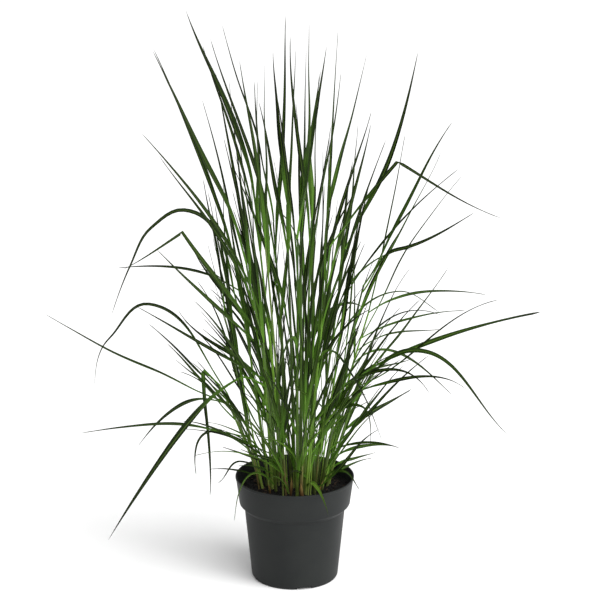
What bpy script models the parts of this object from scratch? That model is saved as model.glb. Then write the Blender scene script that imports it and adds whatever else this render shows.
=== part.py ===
"""Potted ornamental grass clump, standing in a 19 cm round nursery pot.

The pot is one injection-moulded shell. It holds a block of compost, and the compost
holds the feet of the culms, the round stems of the grass. Every blade starts at the
collar where its sheath opens, on the side or at the top of one culm.

Origin: centre of the pot's foot, on the ground. +Z is up and -Y is the front.
"""

import math
from collections import namedtuple

import bmesh
import bpy
from mathutils import Matrix, Vector

CM = 0.01
MM = 0.001
GAP = 0.3 * MM

# Pot: radii and heights of the outer face, in millimetres
POT_HEIGHT = 170.0
RIM_RADIUS = 95.0
LIP_HEIGHT = 3.5
LIP_WIDTH = 0.8
COLLAR_FOOT_HEIGHT = 125.0
COLLAR_FOOT_RADIUS = 88.7
SHOULDER_HEIGHT = 117.0
SHOULDER_RADIUS = 80.7
FOOT_EDGE_HEIGHT = 4.0
FOOT_EDGE_RADIUS = 69.5
FOOT_RADIUS = 67.0
FOOT_INNER_RADIUS = 62.5
FLOOR_RAISE = 4.5
WALL = 1.5
POT_STEPS = 48

NOTCH_COUNT = 4
NOTCH_TURN = 13.5
NOTCH_WIDTH = 25.0
NOTCH_HEIGHT = 4.0
DRAIN_COUNT = 8
DRAIN_RING_RADIUS = 46.0
DRAIN_RADIUS = 4.5

# Compost and the sockets that the culms stand in, in millimetres
COMPOST_TOP = 148.0
COMPOST_CROWN = 1.5
SOCKET_DEPTH = 10.0
SOCKET_PLAY = 0.4

# Culms and blades: thicknesses in millimetres
CULM_FOOT_RADIUS = 2.3
CULM_TOP_RADIUS = 1.5
CULM_POINTS = 7
CULM_BOW = 0.42
BLADE_THICKNESS = 0.6
BLADE_FOLD = 0.12
BLADE_TIP_WIDTH = 0.8
BLADE_SECTIONS = 12

# Each culm: the x, y of its foot and the x, y, z of its topmost collar, in centimetres
CULMS = {
    "culm_01": ((-1.4, -3.0), (-4.4, -8.0, 57)),
    "culm_02": ((-3.0, -1.6), (-4.8, -8.5, 42)),
    "culm_03": ((0.4, -4.0), (0.5, -10, 59)),
    "culm_04": ((1.8, -3.4), (5.4, -9.0, 57.5)),
    "culm_05": ((3.1, -2.6), (2.6, -5.5, 52)),
    "culm_06": ((-5.1, -0.2), (-11.8, -2.5, 33)),
    "culm_07": ((-5.6, 2.4), (-10.8, 6.0, 28.5)),
    "culm_08": ((-4.2, 1.2), (-8.8, 3.0, 47.5)),
    "culm_09": ((-3.6, -0.2), (-5.4, -2.5, 45)),
    "culm_10": ((-2.6, 2.6), (-7.2, 8.0, 45.5)),
    "culm_11": ((-1.8, 0.6), (-6.0, 1.0, 60)),
    "culm_12": ((-1.2, -1.4), (-7.4, -5.5, 53.5)),
    "culm_13": ((-0.6, 3.2), (-3.4, 9.0, 56.5)),
    "culm_14": ((0.0, 0.0), (-1.2, -1.0, 62)),
    "culm_15": ((1.0, 1.6), (1.0, 5.0, 61.5)),
    "culm_16": ((1.4, -1.0), (2.6, -3.0, 60)),
    "culm_17": ((2.6, 3.4), (5.2, 10, 57)),
    "culm_18": ((3.0, 0.6), (8.0, 2.0, 54)),
    "culm_19": ((4.2, -1.0), (10.6, -5.0, 50)),
    "culm_20": ((4.4, 2.2), (11.8, 7.0, 42)),
    "culm_21": ((5.2, 0.6), (10.8, 0.4, 34)),
    "culm_22": ((0.6, 4.8), (1.6, 13, 45)),
}

# Each blade: its culm, the height of its collar and its tip in centimetres, its lean
# from the vertical at the collar and at the tip in degrees, its width in millimetres
# and how far it turns about its own length. An arching blade passes level over its
# crown; a creased one has broken at a point and goes on straight.
Blade = namedtuple(
    "Blade",
    "culm collar tip lean tip_lean width turn crown crease",
    defaults=(None, None),
)
BLADES = {
    "blade_top_01": Blade("culm_11", 60, (-16.5, 1, 92), 6, 20, 9, 60),
    "blade_top_02": Blade("culm_12", 53.5, (-21, -10, 88), 14, 26, 8, 50),
    "blade_top_03": Blade("culm_13", 56.5, (-11.5, 16, 87), 8, 18, 8, 50),
    "blade_top_04": Blade("culm_08", 47.5, (-20.5, 9, 80.5), 12, 30, 7, 60),
    "blade_top_05": Blade("culm_01", 57, (-8, -15, 87.5), 6, 16, 8, 40),
    "blade_top_06": Blade("culm_09", 45, (-23, -8, 75), 18, 40, 7, 60),
    "blade_top_07": Blade("culm_16", 60, (2.2, -5, 91.5), 4, 4, 8, 50),
    "blade_top_08": Blade("culm_15", 61.5, (5, 11, 84.5), 8, 16, 8, 60),
    "blade_top_09": Blade("culm_17", 57, (11.5, 18, 82), 12, 18, 8, 50),
    "blade_top_10": Blade("culm_18", 54, (19, 4, 85), 28, 10, 9, 50),
    "blade_top_11": Blade("culm_19", 50, (23.6, -11, 77.5), 34, 36, 8, 50),
    "blade_top_12": Blade("culm_04", 57.5, (31.4, -9, 62), 35, 112, 9, 50, None, (15.5, -10, 71)),
    "blade_left_01": Blade("culm_08", 42, (-29, 2, 43), 25, 162, 8, 70, (-18, 3, 60.5)),
    "blade_left_02": Blade("culm_09", 41, (-26, -11, 54.5), 38, 110, 9, 60, None, (-17, -7, 59.5)),
    "blade_left_03": Blade("culm_10", 44, (-28.7, 12, 48), 50, 100, 7, 50),
    "blade_left_04": Blade("culm_07", 28.5, (-32.6, 10, 28.5), 30, 175, 7, 60, (-24, 8, 43)),
    "blade_left_05": Blade("culm_06", 30, (-39, -3, 45), 68, 58, 7, 50),
    "blade_left_06": Blade("culm_06", 24, (-33, -12, 28.5), 66, 92, 7, 60),
    "blade_left_07": Blade("culm_02", 34, (-29, -14, 11.5), 75, 148, 10, 70),
    "blade_left_08": Blade("culm_06", 33, (-13.5, -3, 14.5), 55, 186, 8, 50),
    "blade_left_09": Blade("culm_07", 20, (-16, 5, 15), 60, 188, 6, 60),
    "blade_left_10": Blade("culm_07", 26.5, (-26, 13, 17), 66, 145, 8, 50),
    "blade_right_01": Blade("culm_19", 49, (27, -13, 64), 58, 66, 8, 50),
    "blade_right_02": Blade("culm_20", 42, (31, 12, 43.5), 60, 108, 8, 60),
    "blade_right_03": Blade("culm_21", 34, (38.5, -2, 45), 62, 76, 9, 60),
    "blade_right_04": Blade("culm_21", 29, (33.3, -9, 27), 35, 132, 9, 70, (20, -6, 40)),
    "blade_right_05": Blade("culm_20", 34, (26, 16, 25), 55, 135, 7, 60),
    "blade_right_06": Blade("culm_19", 30, (22, -20, 50), 20, 95, 6, 50),
    "blade_right_07": Blade("culm_21", 20, (16.5, 2, 21), 60, 110, 7, 50),
    "blade_front_01": Blade("culm_03", 40, (-4, -31, 36), 30, 130, 8, 30),
    "blade_front_02": Blade("culm_04", 38, (13, -28, 33), 35, 130, 8, -30),
    "blade_front_03": Blade("culm_02", 16, (-9.5, -8.5, 12.5), 40, 165, 6, 30, (-6.6, -4.8, 19)),
    "blade_front_04": Blade("culm_04", 16.5, (5.3, -11.5, 14.5), 40, 150, 6, 20),
    "blade_back_01": Blade("culm_22", 45, (-3, 31, 52), 30, 110, 8, 40),
    "blade_back_02": Blade("culm_22", 34, (12, 28, 36), 40, 125, 8, 40),
    "blade_back_03": Blade("culm_10", 36, (-16, 25, 44), 35, 105, 8, 40),
}

UP = Vector((0, 0, 1))


def material(name, colour, roughness):
    """One plain finish."""
    made = bpy.data.materials.new(name)
    made.use_nodes = True
    shader = made.node_tree.nodes["Principled BSDF"]
    shader.inputs["Base Color"].default_value = (*colour, 1)
    shader.inputs["Roughness"].default_value = roughness
    shader.inputs["Metallic"].default_value = 0
    return made


def add_mesh_object(name, mesh, collection):
    placed = bpy.data.objects.new(name, mesh)
    collection.objects.link(placed)
    return placed


def mark_as_cutter(cutter):
    cutter.hide_render = True
    cutter.display_type = "WIRE"


def turned(name, profile, steps, collection):
    """A profile of (radius, height) points in millimetres, turned about Z."""
    mesh = bpy.data.meshes.new(name)
    points = [(radius * MM, 0, height * MM) for radius, height in profile]
    edges = [(i, i + 1) for i in range(len(points) - 1)]
    mesh.from_pydata(points, edges, [])
    made = add_mesh_object(name, mesh, collection)
    screw = made.modifiers.new("Turned about Z", "SCREW")
    screw.steps = steps
    screw.render_steps = steps
    screw.use_merge_vertices = True
    screw.merge_threshold = 0.00001
    screw.use_smooth_shade = True
    return made


def cut(target, cutter):
    difference = target.modifiers.new("Cut " + cutter.name, "BOOLEAN")
    difference.operation = "DIFFERENCE"
    difference.solver = "EXACT"
    difference.object = cutter


# ---- Pot ------------------------------------------------------------------------


def body_radius(height):
    """Outer radius of the tapered body below the shoulder, in millimetres."""
    share = (height - FOOT_EDGE_HEIGHT) / (SHOULDER_HEIGHT - FOOT_EDGE_HEIGHT)
    return FOOT_EDGE_RADIUS + share * (SHOULDER_RADIUS - FOOT_EDGE_RADIUS)


def inner_wall(bottom, top, clearance):
    """The inner face from bottom to top, moved in by a clearance, in millimetres."""
    inset = WALL + clearance
    collar_top_radius = RIM_RADIUS - LIP_WIDTH
    share = (top - COLLAR_FOOT_HEIGHT) / (POT_HEIGHT - COLLAR_FOOT_HEIGHT)
    top_radius = COLLAR_FOOT_RADIUS + share * (collar_top_radius - COLLAR_FOOT_RADIUS)
    return [
        (body_radius(bottom) - inset, bottom),
        (SHOULDER_RADIUS - inset, SHOULDER_HEIGHT + WALL / 2),
        (COLLAR_FOOT_RADIUS - inset, COLLAR_FOOT_HEIGHT + WALL / 2),
        (top_radius - inset, top),
    ]


def pot_profile():
    """From the middle of the floor up the inside, over the rim and down the outside."""
    floor_top = FLOOR_RAISE + WALL
    lip_foot = POT_HEIGHT - LIP_HEIGHT
    collar_radius = RIM_RADIUS - LIP_WIDTH
    inside = [(0, floor_top)] + inner_wall(floor_top, POT_HEIGHT - 0.5, 0)
    rim = [
        (collar_radius - WALL + 0.5, POT_HEIGHT),
        (RIM_RADIUS - 0.5, POT_HEIGHT),
        (RIM_RADIUS, POT_HEIGHT - 0.5),
        (RIM_RADIUS, lip_foot),
        (collar_radius, lip_foot - 0.5),
    ]
    outside = [
        (COLLAR_FOOT_RADIUS, COLLAR_FOOT_HEIGHT),
        (SHOULDER_RADIUS, SHOULDER_HEIGHT),
        (FOOT_EDGE_RADIUS, FOOT_EDGE_HEIGHT),
        (FOOT_RADIUS + 1, 1),
        (FOOT_RADIUS, 0),
    ]
    underside = [
        (FOOT_INNER_RADIUS, 0),
        (FOOT_INNER_RADIUS - 0.5, FLOOR_RAISE),
        (0, FLOOR_RAISE),
    ]
    return inside + rim + outside + underside


def notch_cutters():
    """Bars across the foot ring, two notches to a bar."""
    mesh = bpy.data.meshes.new("foot_notches")
    bars = bmesh.new()
    length = 2.2 * FOOT_EDGE_RADIUS
    for turn in range(NOTCH_COUNT // 2):
        angle = math.radians(NOTCH_TURN - 90 + turn * 180 / (NOTCH_COUNT // 2))
        size = Matrix.Diagonal((length * MM, NOTCH_WIDTH * MM, 2 * NOTCH_HEIGHT * MM, 1))
        bmesh.ops.create_cube(bars, size=1, matrix=Matrix.Rotation(angle, 4, "Z") @ size)
    bars.to_mesh(mesh)
    bars.free()
    return mesh


def drain_cutters():
    mesh = bpy.data.meshes.new("drain_holes")
    pins = bmesh.new()
    for turn in range(DRAIN_COUNT):
        angle = math.tau * (turn + 0.5) / DRAIN_COUNT
        place = (
            DRAIN_RING_RADIUS * MM * math.cos(angle),
            DRAIN_RING_RADIUS * MM * math.sin(angle),
            FLOOR_RAISE * MM,
        )
        bmesh.ops.create_cone(
            pins,
            cap_ends=True,
            segments=12,
            radius1=DRAIN_RADIUS * MM,
            radius2=DRAIN_RADIUS * MM,
            depth=8 * WALL * MM,
            matrix=Matrix.Translation(place),
        )
    pins.to_mesh(mesh)
    pins.free()
    return mesh


def make_pot(collection, cutters, finish):
    pot = turned("pot", pot_profile(), POT_STEPS, collection)
    for mesh in (notch_cutters(), drain_cutters()):
        cutter = add_mesh_object(mesh.name, mesh, cutters)
        mark_as_cutter(cutter)
        cut(pot, cutter)
    pot.data.materials.append(finish)


# ---- Culms ----------------------------------------------------------------------


def culm_point(name, height):
    """The middle of a culm at a height, in metres; it bows outwards as it rises."""
    (foot_x, foot_y), (top_x, top_y, top_z) = CULMS[name]
    foot_z = COMPOST_TOP * MM / CM
    share = (height - foot_z) / (top_z - foot_z)
    out = share * (2 * CULM_BOW + share * (1 - 2 * CULM_BOW))
    x = foot_x + out * (top_x - foot_x)
    y = foot_y + out * (top_y - foot_y)
    return Vector((x, y, height)) * CM


def culm_radius(name, height):
    foot_z = COMPOST_TOP * MM / CM
    share = (height - foot_z) / (CULMS[name][1][2] - foot_z)
    return (CULM_FOOT_RADIUS + share * (CULM_TOP_RADIUS - CULM_FOOT_RADIUS)) * MM


def make_culm(name, collection, finish):
    """A round, tapering tube of rolled sheaths, rooted in its socket."""
    foot_z = (COMPOST_TOP - SOCKET_DEPTH) * MM / CM
    top_z = CULMS[name][1][2]
    curve = bpy.data.curves.new(name, "CURVE")
    curve.dimensions = "3D"
    curve.bevel_depth = 1
    curve.bevel_resolution = 1
    curve.use_fill_caps = True
    spline = curve.splines.new("POLY")
    spline.points.add(CULM_POINTS - 1)
    for i, point in enumerate(spline.points):
        height = foot_z + (top_z - foot_z) * i / (CULM_POINTS - 1)
        point.co = (*culm_point(name, height), 1)
        point.radius = culm_radius(name, height)
    curve.materials.append(finish)
    placed = bpy.data.objects.new(name, curve)
    collection.objects.link(placed)


# ---- Compost --------------------------------------------------------------------


def compost_profile():
    """From the raised middle down the outer side, to the middle of the underside."""
    bottom = FLOOR_RAISE + WALL + GAP / MM
    wall = inner_wall(bottom, COMPOST_TOP - 1, GAP / MM)
    top = [(0, COMPOST_TOP + COMPOST_CROWN), (55, COMPOST_TOP), (84, COMPOST_TOP)]
    return top + wall[::-1] + [(0, bottom)]


def socket_cutters():
    """One slightly wide pin along the foot of each culm."""
    mesh = bpy.data.meshes.new("culm_sockets")
    pins = bmesh.new()
    low = (COMPOST_TOP - SOCKET_DEPTH) * MM / CM
    for name in CULMS:
        start = culm_point(name, low)
        along = (culm_point(name, low + 1) - start).normalized()
        depth = 3 * SOCKET_DEPTH * MM
        middle = start + along * (depth / 2 - GAP)
        turn = along.to_track_quat("Z", "Y").to_matrix().to_4x4()
        radius = (CULM_FOOT_RADIUS + SOCKET_PLAY) * MM
        bmesh.ops.create_cone(
            pins,
            cap_ends=True,
            segments=8,
            radius1=radius,
            radius2=radius,
            depth=depth,
            matrix=Matrix.Translation(middle) @ turn,
        )
    pins.to_mesh(mesh)
    pins.free()
    return mesh


def make_compost(collection, cutters, finish):
    compost = turned("compost", compost_profile(), POT_STEPS, collection)
    cutter = add_mesh_object("culm_sockets", socket_cutters(), cutters)
    mark_as_cutter(cutter)
    cut(compost, cutter)
    compost.data.materials.append(finish)


# ---- Blades ---------------------------------------------------------------------


def heading(start, end):
    """The level direction from one point to another."""
    level = Vector((end.x - start.x, end.y - start.y, 0))
    return level.normalized()


def leaning(level, degrees):
    """A direction that leans from the vertical towards a heading."""
    angle = math.radians(degrees)
    return level * math.sin(angle) + UP * math.cos(angle)


def sweep(start, end, start_way, end_way, share):
    """A point and a direction on the smooth curve between two points."""
    turn = start_way.angle(end_way)
    pull = (end - start).length / math.cos(turn / 4) ** 2
    t = share
    point = (
        start * (2 * t**3 - 3 * t**2 + 1)
        + start_way * pull * (t**3 - 2 * t**2 + t)
        + end * (3 * t**2 - 2 * t**3)
        + end_way * pull * (t**3 - t**2)
    )
    way = (
        start * (6 * t**2 - 6 * t)
        + start_way * pull * (3 * t**2 - 4 * t + 1)
        + end * (6 * t - 6 * t**2)
        + end_way * pull * (3 * t**2 - 2 * t)
    )
    return point, way.normalized()


def blade_line(blade):
    """Points, directions and headings from the collar to the tip."""
    tip = Vector(blade.tip) * CM
    on_culm = culm_point(blade.culm, blade.collar)
    aim = Vector(blade.crown or blade.crease or blade.tip) * CM
    out = heading(on_culm, aim)
    if blade.collar == CULMS[blade.culm][1][2]:
        start = on_culm + leaning(out, blade.lean) * 2 * GAP
    else:
        start = on_culm + out * (culm_radius(blade.culm, blade.collar) + 3 * GAP)
    if not (blade.crown or blade.crease):
        legs = [(start, tip, leaning(out, blade.lean), leaning(out, blade.tip_lean), out)]
    else:
        onward = heading(aim, tip)
        if blade.crown:
            over_in = over_out = (out + onward).normalized()
        else:
            over_in = (aim - start).normalized()
            over_out = (tip - aim).normalized()
        legs = [
            (start, aim, leaning(out, blade.lean), over_in, out),
            (aim, tip, over_out, leaning(onward, blade.tip_lean), onward),
        ]
    line = []
    per_leg = BLADE_SECTIONS // len(legs)
    for number, (a, b, way_a, way_b, level) in enumerate(legs):
        for i in range(1 if number else 0, per_leg + 1):
            point, way = sweep(a, b, way_a, way_b, i / per_leg)
            line.append((point, way, level))
    return line


def blade_width(blade, share):
    """Narrow at the collar, widest a third of the way out, and fine at the tip."""
    swell = min(1, 0.6 + 1.3 * share)
    taper = (1 - share**2.4) ** 0.8
    return max(blade.width * swell * taper, BLADE_TIP_WIDTH) * MM


def make_blade(name, collection, finish):
    """A thin loft, folded along its midrib, that turns about its own length."""
    blade = BLADES[name]
    line = blade_line(blade)
    shape = bmesh.new()
    rings = []
    for i, (point, way, level) in enumerate(line):
        share = i / (len(line) - 1)
        side = level.cross(UP)
        side = (side - way * side.dot(way)).normalized()
        eased = min(1, 2 * share)
        turn = math.radians(blade.turn) * eased * eased * (3 - 2 * eased)
        side = Matrix.Rotation(turn, 3, way) @ side
        face = side.cross(way)
        half = side * blade_width(blade, share) / 2
        lift = face * blade_width(blade, share) * BLADE_FOLD
        skin = face * BLADE_THICKNESS * MM * (1 - share / 2) / 2
        corners = (point - half + lift, point - skin, point + half + lift, point + skin)
        rings.append([shape.verts.new(corner) for corner in corners])
    for low, high in zip(rings, rings[1:]):
        for i in range(4):
            j = (i + 1) % 4
            shape.faces.new((low[i], low[j], high[j], high[i]))
    shape.faces.new(rings[0][::-1])
    shape.faces.new(rings[-1])
    bmesh.ops.recalc_face_normals(shape, faces=shape.faces)
    mesh = bpy.data.meshes.new(name)
    shape.to_mesh(mesh)
    shape.free()
    mesh.shade_smooth()
    mesh.set_sharp_from_angle(angle=math.radians(60))
    mesh.materials.append(finish)
    add_mesh_object(name, mesh, collection)


# ---- The plant in its pot -------------------------------------------------------


def main():
    for old in list(bpy.data.objects):
        bpy.data.objects.remove(old, do_unlink=True)
    collection = bpy.data.collections.new("potted_ornamental_grass")
    cutters = bpy.data.collections.new("cutters")
    bpy.context.scene.collection.children.link(collection)
    bpy.context.scene.collection.children.link(cutters)

    make_pot(collection, cutters, material("moulded_plastic", (0.045, 0.048, 0.046), 0.5))
    make_compost(collection, cutters, material("compost", (0.02, 0.014, 0.01), 0.95))
    culm_green = material("culm_green", (0.16, 0.3, 0.05), 0.5)
    for name in CULMS:
        make_culm(name, collection, culm_green)
    blade_green = material("blade_green", (0.03, 0.11, 0.03), 0.45)
    for name in BLADES:
        make_blade(name, collection, blade_green)


main()
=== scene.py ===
import math
import random
from collections import namedtuple

import bmesh
import bpy
from mathutils import Matrix, Vector, noise


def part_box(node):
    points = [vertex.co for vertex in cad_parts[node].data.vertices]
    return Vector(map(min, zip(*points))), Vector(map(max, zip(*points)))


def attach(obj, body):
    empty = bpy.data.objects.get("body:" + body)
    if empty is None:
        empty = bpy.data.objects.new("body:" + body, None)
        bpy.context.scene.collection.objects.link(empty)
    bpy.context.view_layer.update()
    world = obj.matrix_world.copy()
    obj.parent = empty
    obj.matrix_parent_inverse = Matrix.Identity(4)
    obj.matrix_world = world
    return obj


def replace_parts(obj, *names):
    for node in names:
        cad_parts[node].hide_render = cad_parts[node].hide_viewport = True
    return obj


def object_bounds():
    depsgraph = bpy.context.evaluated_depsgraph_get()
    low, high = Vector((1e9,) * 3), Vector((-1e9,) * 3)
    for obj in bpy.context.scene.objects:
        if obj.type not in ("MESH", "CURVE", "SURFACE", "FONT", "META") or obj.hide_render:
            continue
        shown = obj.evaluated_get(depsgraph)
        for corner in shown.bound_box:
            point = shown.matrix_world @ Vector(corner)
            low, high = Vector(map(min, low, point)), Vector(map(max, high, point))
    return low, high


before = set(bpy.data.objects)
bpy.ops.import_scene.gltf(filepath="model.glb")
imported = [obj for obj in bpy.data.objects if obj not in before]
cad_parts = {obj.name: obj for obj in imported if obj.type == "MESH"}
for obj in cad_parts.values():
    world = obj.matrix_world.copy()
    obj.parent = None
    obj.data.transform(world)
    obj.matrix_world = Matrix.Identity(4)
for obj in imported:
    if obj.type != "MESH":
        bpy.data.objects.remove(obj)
cad_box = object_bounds()

CM = 0.01
MM = 0.001
UP = Vector((0, 0, 1))


# ---- Nursery pot ----------------------------------------------------------------
# A round 19 cm grower's pot: one injection-moulded shell of anthracite polypropylene,
# with a deep stacking collar, a tapered body and a foot ring cut by drain notches.
# It is a profile turned about Z, with its notches and drain holes cut out.

pot_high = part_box("pot")[1]
RIM_RADIUS = pot_high.x / MM
POT_HEIGHT = pot_high.z / MM
LIP_HEIGHT = 3.5
LIP_WIDTH = 0.8
COLLAR_FOOT = (88.7, 125.0)
SHOULDER = (80.7, 117.0)
FOOT_EDGE = (69.4, 3.0)
FOOT_RADIUS = 67.5
FOOT_INNER_RADIUS = 62.5
FLOOR_RAISE = 4.5
WALL = 1.5
DRAFT = 0.5
EDGE_ROUND = 0.8
POT_STEPS = 192
NOTCH_TURN = 13.5
NOTCH_WIDTH = 25.0
NOTCH_HEIGHT = 4.0
DRAIN_COUNT = 8
DRAIN_RING_RADIUS = 46.0
DRAIN_RADIUS = 4.5


def paint(hex_colour):
    """An sRGB hex colour as the linear numbers that a shader takes."""
    linear = []
    for start in (1, 3, 5):
        share = int(hex_colour[start : start + 2], 16) / 255
        linear.append(share / 12.92 if share <= 0.04045 else ((share + 0.055) / 1.055) ** 2.4)
    return (*linear, 1.0)


def new_material(name, roughness, ior=1.5, gloss=0.5):
    """A dielectric Principled shader, with its node tree and its shader node."""
    made = bpy.data.materials.new(name)
    made.use_nodes = True
    shader = made.node_tree.nodes["Principled BSDF"]
    shader.inputs["Roughness"].default_value = roughness
    shader.inputs["IOR"].default_value = ior
    shader.inputs["Specular IOR Level"].default_value = gloss
    return made, made.node_tree, shader


def add(tree, kind, settings=None, **sockets):
    """Adds one node. Settings are its properties; a socket takes a value or a link."""
    made = tree.nodes.new("ShaderNode" + kind)
    for name, value in (settings or {}).items():
        setattr(made, name, value)
    for name, value in sockets.items():
        socket = made.inputs[int(name[1:])] if name[1:].isdigit() else made.inputs[name]
        if isinstance(value, bpy.types.NodeSocket):
            tree.links.new(value, socket)
        else:
            socket.default_value = value
    return made


def ramp(tree, factor, *stops):
    """A colour ramp through (position, hex colour) stops."""
    made = add(tree, "ValToRGB", Fac=factor)
    elements = made.color_ramp.elements
    while len(elements) < len(stops):
        elements.new(0.5)
    for element, (position, colour) in zip(elements, stops):
        element.position = position
        element.color = paint(colour)
    return made.outputs["Color"]


def blended(tree, factor, first, second, how="MIX"):
    """Two colours mixed by a factor; each is a link or a hex colour."""
    made = add(tree, "Mix", {"data_type": "RGBA", "blend_type": how})
    sockets = [s for s in made.inputs if s.enabled]
    for socket, value in zip(sockets, (factor, first, second)):
        if isinstance(value, bpy.types.NodeSocket):
            tree.links.new(value, socket)
        else:
            socket.default_value = paint(value) if isinstance(value, str) else value
    return next(s for s in made.outputs if s.enabled)


def moulded_polypropylene():
    """Moulded polypropylene, coloured through: satin, with a fine spark-eroded grain
    from the mould and a thin film of dust that dulls it in soft patches."""
    made, tree, shader = new_material("moulded_polypropylene", 0.5, 1.49, 0.12)
    place = add(tree, "TexCoord").outputs["Object"]
    patches = add(tree, "TexNoise", Vector=place, Scale=14.0, Detail=4.0)
    colour = ramp(tree, patches.outputs["Fac"], (0.35, "#202222"), (0.7, "#272928"))
    tree.links.new(colour, shader.inputs["Base Color"])
    dull = add(tree, "MapRange", Value=patches.outputs["Fac"], _1=0.3, _2=0.75, _3=0.45, _4=0.6)
    tree.links.new(dull.outputs["Result"], shader.inputs["Roughness"])
    # mould grain of about 0.4 mm
    grain = add(tree, "TexNoise", Vector=place, Scale=1 / (0.4 * MM), Detail=2.0)
    bump = add(tree, "Bump", Strength=0.12, Distance=0.05 * MM, Height=grain.outputs["Fac"])
    tree.links.new(bump.outputs["Normal"], shader.inputs["Normal"])
    return made


def rounded(corners, radius, steps=3):
    """An open outline in which each inner corner is an arc."""
    outline = [Vector(corners[0])]
    for before, corner, after in zip(corners, corners[1:], corners[2:]):
        corner = Vector(corner)
        back = Vector(before) - corner
        on = Vector(after) - corner
        reach = min(radius, back.length / 2.1, on.length / 2.1)
        start = corner + back.normalized() * reach
        end = corner + on.normalized() * reach
        for i in range(steps + 1):
            t = i / steps
            outline.append(start * (1 - t) ** 2 + corner * 2 * t * (1 - t) + end * t * t)
    outline.append(Vector(corners[-1]))
    return outline


def settled(obj):
    """The object with its modifiers applied."""
    graph = bpy.context.evaluated_depsgraph_get()
    mesh = bpy.data.meshes.new_from_object(obj.evaluated_get(graph))
    obj.modifiers.clear()
    obj.data = mesh
    mesh.name = obj.name
    return obj


def placed(name, mesh):
    """A new object of a mesh, in the scene."""
    made = bpy.data.objects.new(name, mesh)
    bpy.context.scene.collection.objects.link(made)
    return made


def turned(name, outline, steps):
    """An outline of (radius, height) points in millimetres, turned about Z."""
    mesh = bpy.data.meshes.new(name)
    points = [(radius * MM, 0, height * MM) for radius, height in outline]
    mesh.from_pydata(points, [(i, i + 1) for i in range(len(points) - 1)], [])
    made = placed(name, mesh)
    screw = made.modifiers.new("Turned", "SCREW")
    screw.steps = steps
    screw.render_steps = steps
    screw.use_merge_vertices = True
    screw.merge_threshold = 0.00001
    return settled(made)


def radius_at(height, low, high):
    """The radius at a height on the straight wall between two (radius, height) points."""
    return low[0] + (height - low[1]) / (high[1] - low[1]) * (high[0] - low[0])


def inner_wall(bottom, top, inset):
    """The inner face from bottom to top, set in from the outer one."""
    collar_top = (RIM_RADIUS - LIP_WIDTH, POT_HEIGHT)
    return [
        (radius_at(bottom, FOOT_EDGE, SHOULDER) - inset, bottom),
        (SHOULDER[0] - inset, SHOULDER[1] + WALL / 2),
        (COLLAR_FOOT[0] - inset, COLLAR_FOOT[1] + WALL / 2),
        (radius_at(top, COLLAR_FOOT, collar_top) - inset, top),
    ]


def pot_cutters():
    """Two bars across the foot ring and a ring of pins through the floor."""
    tools = bmesh.new()
    for turn in (NOTCH_TURN - 90, NOTCH_TURN):
        size = Matrix.Diagonal((160 * MM, NOTCH_WIDTH * MM, 2 * NOTCH_HEIGHT * MM, 1))
        swing = Matrix.Rotation(math.radians(turn), 4, "Z")
        bmesh.ops.create_cube(tools, size=1, matrix=swing @ size)
    for i in range(DRAIN_COUNT):
        swing = Matrix.Rotation(math.tau * (i + 0.5) / DRAIN_COUNT, 4, "Z")
        middle = swing @ Matrix.Translation((DRAIN_RING_RADIUS * MM, 0, 6 * MM))
        bmesh.ops.create_cone(
            tools,
            cap_ends=True,
            segments=32,
            radius1=DRAIN_RADIUS * MM,
            radius2=DRAIN_RADIUS * MM,
            depth=10 * MM,
            matrix=middle,
        )
    mesh = bpy.data.meshes.new("pot_cutters")
    tools.to_mesh(mesh)
    tools.free()
    return placed("pot_cutters", mesh)


def shade_round(obj, sharp_degrees):
    obj.data.shade_smooth()
    obj.data.set_sharp_from_angle(angle=math.radians(sharp_degrees))


floor_top = FLOOR_RAISE + WALL
collar_radius = RIM_RADIUS - LIP_WIDTH
pot_corners = (
    [(0, floor_top)]
    + inner_wall(floor_top, POT_HEIGHT, WALL)
    + [
        (RIM_RADIUS, POT_HEIGHT),
        (RIM_RADIUS, POT_HEIGHT - LIP_HEIGHT),
        (collar_radius, POT_HEIGHT - LIP_HEIGHT - DRAFT),
        COLLAR_FOOT,
        SHOULDER,
        FOOT_EDGE,
        (FOOT_RADIUS, 0),
        (FOOT_INNER_RADIUS, 0),
        (FOOT_INNER_RADIUS - DRAFT, FLOOR_RAISE),
        (0, FLOOR_RAISE),
    ]
)
pot = turned("moulded_pot", rounded(pot_corners, EDGE_ROUND), POT_STEPS)
cutters = pot_cutters()
cut = pot.modifiers.new("Notches and drain holes", "BOOLEAN")
cut.object = cutters
cut.solver = "EXACT"
settled(pot)
bpy.data.objects.remove(cutters)
shade_round(pot, 35)
pot.data.materials.clear()
pot.data.materials.append(moulded_polypropylene())
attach(pot, "root")
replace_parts(pot, "pot")


# ---- Compost --------------------------------------------------------------------
# Moist peat and bark compost, root-bound in the shape of the pot. It is one turned
# block whose top is lumpy, with loose crumbs and bark chips lying on it.

compost_low, compost_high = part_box("compost")
COMPOST_CROWN = 1.5
COMPOST_TOP = compost_high.z / MM - COMPOST_CROWN
COMPOST_BOTTOM = compost_low.z / MM
COMPOST_PLAY = 0.3
COMPOST_STEPS = 160
TOP_RINGS = 60
CRUMBS = 1500
CHIPS = 130


def lumps(x, y):
    """How far the top stands proud at a place, in metres."""
    coarse = noise.fractal((x * 45, y * 45, 3.0), 1.0, 2.0, 3)
    fine = noise.fractal((x * 210, y * 210, 7.0), 1.0, 2.1, 4)
    return (2.4 * coarse + 1.3 * fine) * MM


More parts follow.
